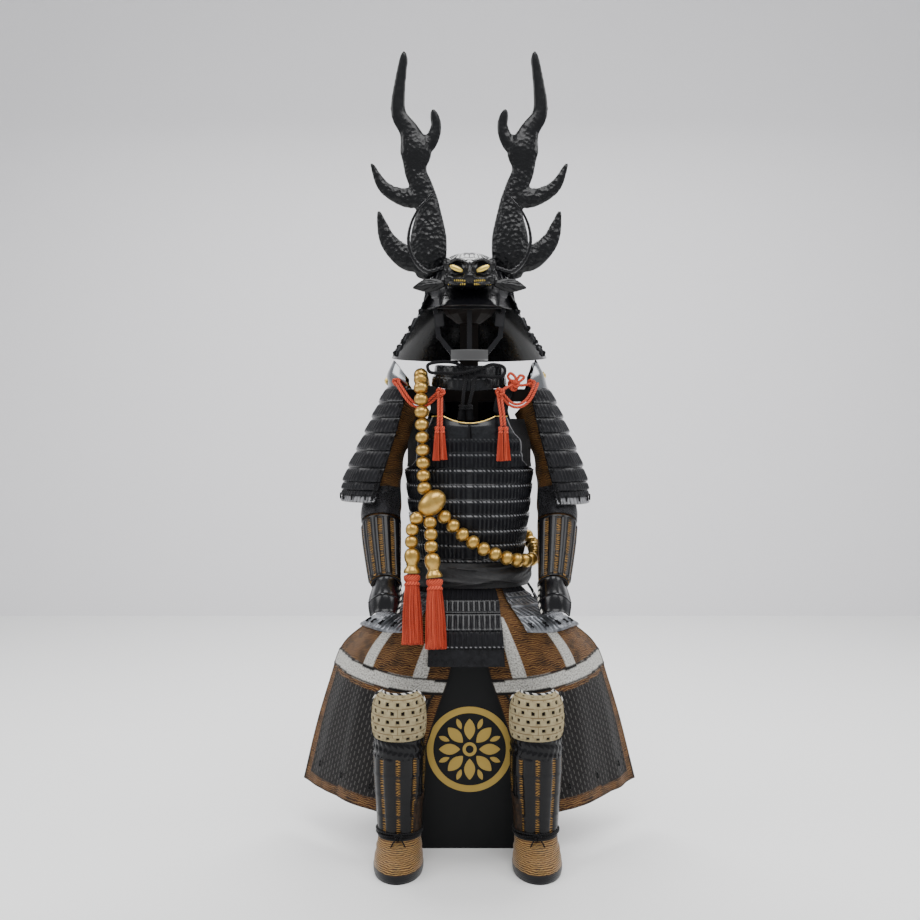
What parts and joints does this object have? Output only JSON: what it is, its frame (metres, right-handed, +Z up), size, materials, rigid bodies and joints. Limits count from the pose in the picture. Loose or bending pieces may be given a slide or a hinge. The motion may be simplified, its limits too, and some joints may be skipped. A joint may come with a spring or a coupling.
{
  "type": "samurai armour on display chest",
  "caption": "Samurai armour with antlered helmet, laced cuirass, sleeves, thigh and shin guards, standing on a lidded display chest.",
  "frame": {"origin": "middle of the chest's underside, on the floor", "axes": "+Z up, -Y towards the front of the armour, +X to the viewer's right"},
  "size_m": [0.805, 0.5721, 1.8612],
  "materials": {
    "satin_black": "satin black lacquer on wood",
    "stand_wood": "dark stained wood",
    "dark_steel": "blackened steel",
    "steel": "polished steel",
    "lacquer": "glossy black lacquer",
    "laced_plates": "black lacquered lames with black lacing",
    "black_cloth": "black crepe and cord",
    "brocade": "brown and gold woven brocade",
    "ivory_cloth": "ivory hexagon plates under cloth",
    "gold": "satin gold",
    "coral_silk": "coral red silk"
  },
  "bodies": {
    "root": {"chest_body": "satin_black", "chest_lid": "satin_black", "stand": "stand_wood", "face_frame": "dark_steel", "hand_plate_l": "dark_steel", "hand_plate_r": "dark_steel", "chin_band": "steel", "guard_cap_l": "steel", "guard_cap_r": "steel", "helmet_bowl": "lacquer", "visor": "lacquer", "neck_guard": "lacquer", "lion_head": "lacquer", "turnback_l": "lacquer", "turnback_r": "lacquer", "antler_l": "lacquer", "antler_r": "lacquer", "horn_l": "lacquer", "horn_r": "lacquer", "forearm_splints_l": "lacquer", "forearm_splints_r": "lacquer", "shin_guard_l": "lacquer", "shin_guard_r": "lacquer", "cuirass_front": "laced_plates", "cuirass_back": "laced_plates", "throat_guard": "laced_plates", "skirt_front": "laced_plates", "shoulder_guard_l": "laced_plates", "shoulder_guard_r": "laced_plates", "skirt_front_l": "laced_plates", "skirt_front_r": "laced_plates", "skirt_side_l": "laced_plates", "skirt_side_r": "laced_plates", "skirt_back_l": "laced_plates", "skirt_back_r": "laced_plates", "shoulder_strap_l": "black_cloth", "shoulder_strap_r": "black_cloth", "sash": "black_cloth", "chin_cord": "black_cloth", "chin_tassels": "black_cloth", "sleeve_l": "brocade", "sleeve_r": "brocade", "thigh_apron_l": "brocade", "thigh_apron_r": "brocade", "shoe_l": "brocade", "shoe_r": "brocade", "knee_guard_l": "ivory_cloth", "knee_guard_r": "ivory_cloth", "big_bead": "gold", "bead_strand": "gold", "pendant_l": "gold", "pendant_r": "gold", "tassel_large_l": "coral_silk", "tassel_large_r": "coral_silk", "tassel_pair_l": "coral_silk", "tassel_pair_r": "coral_silk", "shoulder_cord_l": "coral_silk", "shoulder_cord_r": "coral_silk"}
  },
  "joints": []
}
